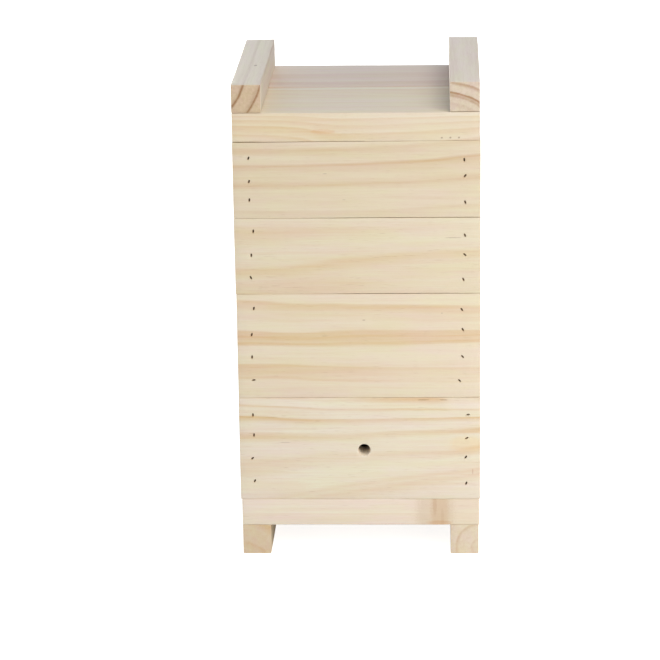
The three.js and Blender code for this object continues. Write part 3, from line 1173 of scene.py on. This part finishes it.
def cornerPiece(node, seed):
    low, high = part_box(node)
    middle = (low + high) / 2

    def cutDiagonal(board, lowCorner, highCorner):
        # the long side faces the hive's middle
        inward = Vector((-middle.x, -middle.y, 0)).normalized()
        editAll()
        bpy.ops.mesh.bisect(plane_co=middle, plane_no=inward, use_fill=True, clear_outer=True)
        bpy.ops.mesh.bevel(offset=cornerEase, segments=2, affect="EDGES")
        leaveEdit()

    addBoard(node, "over_nest", "top", seed, prepare=cutDiagonal)


for node in ("over_nest_corner_back_left", "over_nest_corner_back_right",
             "over_nest_corner_front_left", "over_nest_corner_front_right"):
    cornerPiece(node, seed)
    seed += 1
print("floor, lid, strips and inner pieces done")

bpy.data.objects.remove(pitModel)

steel = bradMaterial()
for node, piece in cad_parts.items():
    if "_brad_" in node:
        piece.data.materials.clear()
        piece.data.materials.append(steel)

bradModels = {"wall": modelBrad(bradShape["wallLength"]), "strip": modelBrad(bradShape["stripLength"])}
for name, body, place, drive, lean, kind in hiddenBrads:
    brad = copyPiece(bradModels[kind], name)
    standAt(brad, place, drive, lean, bradShape["sink"])
    shadeSoft(brad)
    brad.data.materials.append(steel)
    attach(brad, body)
for model in bradModels.values():
    bpy.data.objects.remove(model)
print(len(hiddenBrads), "brads driven into the backs and strips")

studio = {"floor": 6.0, "paper": (0.8, 0.775, 0.72, 1), "roughness": 0.9, "glow": 0.84}
cameraPlace = {
    "location": (0.05293, -1.69898, 0.63916),
    "pan": 2.513,
    "tilt": 73.378,
    "roll": -0.891,
    "lens": 142.74,
    "sensor": 36.0,
    "reach": 50,
}
skyLight = {"colour": (0.8, 0.98, 1.26, 1), "strength": 0.45}
lamps = [
    {"name": "keyLight", "place": (0.85, -1.4, 1.8), "aim": (0, 0, 0.16), "size": 1.5, "power": 33.5,
     "colour": (1.0, 0.945, 0.86)},
    {"name": "lowCard", "place": (0.36, -0.42, 0.05), "aim": (0.03, 0, 0.07), "size": 0.2, "power": 0.6,
     "colour": (1.0, 0.965, 0.91)},
    {"name": "fillLight", "place": (-1.6, -0.5, 0.35), "aim": (0, 0, 0.16), "size": 0.8, "power": 4.0,
     "colour": (1.0, 0.98, 0.96)},
    {"name": "backLight", "place": (-0.8, 1.9, 0.4), "aim": (0, 0, 0.16), "size": 1.0, "power": 16.0,
     "colour": (1.0, 0.98, 0.95)},
]


def buildStage():
    deselectAll()
    bpy.ops.mesh.primitive_plane_add(size=studio["floor"])
    ground = bpy.context.object
    ground.name = "studioFloor"
    paper = bpy.data.materials.new("studioPaper")
    paper.use_nodes = True
    tree = paper.node_tree
    shader = tree.nodes["Principled BSDF"]
    shader.inputs["Base Color"].default_value = studio["paper"]
    shader.inputs["Roughness"].default_value = studio["roughness"]
    shader.inputs["Emission Color"].default_value = (1, 1, 1, 1)
    # the paper is lit from behind for the eye, without lighting the hive
    seen = addNode(tree, "ShaderNodeLightPath").outputs["Is Camera Ray"]
    tree.links.new(calc(tree, "MULTIPLY", seen, studio["glow"]), shader.inputs["Emission Strength"])
    ground.data.materials.append(paper)


def buildLight():
    scene = bpy.context.scene
    world = bpy.data.worlds.new("studio")
    scene.world = world
    world.use_nodes = True
    tree = world.node_tree
    background = tree.nodes["Background"]
    seen = addNode(tree, "ShaderNodeLightPath").outputs["Is Camera Ray"]
    tree.links.new(blendColors(tree, seen, skyLight["colour"], (1, 1, 1, 1)), background.inputs["Color"])
    tree.links.new(remap(tree, seen, 0, 1, skyLight["strength"], 1.0), background.inputs["Strength"])
    for lamp in lamps:
        deselectAll()
        bpy.ops.object.light_add(type="AREA", location=lamp["place"])
        light = bpy.context.object
        light.name = lamp["name"]
        light.data.size = lamp["size"]
        light.data.energy = lamp["power"]
        light.data.color = lamp["colour"]
        light.visible_camera = False
        aim = Vector(lamp["aim"]) - Vector(lamp["place"])
        light.rotation_euler = aim.to_track_quat("-Z", "Y").to_euler()
    scene.view_settings.view_transform = "Standard"


def buildCamera():
    deselectAll()
    bpy.ops.object.camera_add(location=cameraPlace["location"])
    camera = bpy.context.object
    camera.name = "frontCamera"
    turn = (Matrix.Rotation(math.radians(cameraPlace["pan"]), 3, "Z")
            @ Matrix.Rotation(math.radians(cameraPlace["tilt"]), 3, "X")
            @ Matrix.Rotation(math.radians(cameraPlace["roll"]), 3, "Z"))
    camera.rotation_euler = turn.to_euler()
    camera.data.lens = cameraPlace["lens"]
    camera.data.sensor_width = cameraPlace["sensor"]
    camera.data.clip_end = cameraPlace["reach"]
    bpy.context.scene.camera = camera


buildStage()
buildLight()
buildCamera()
print("stage, light and camera set")
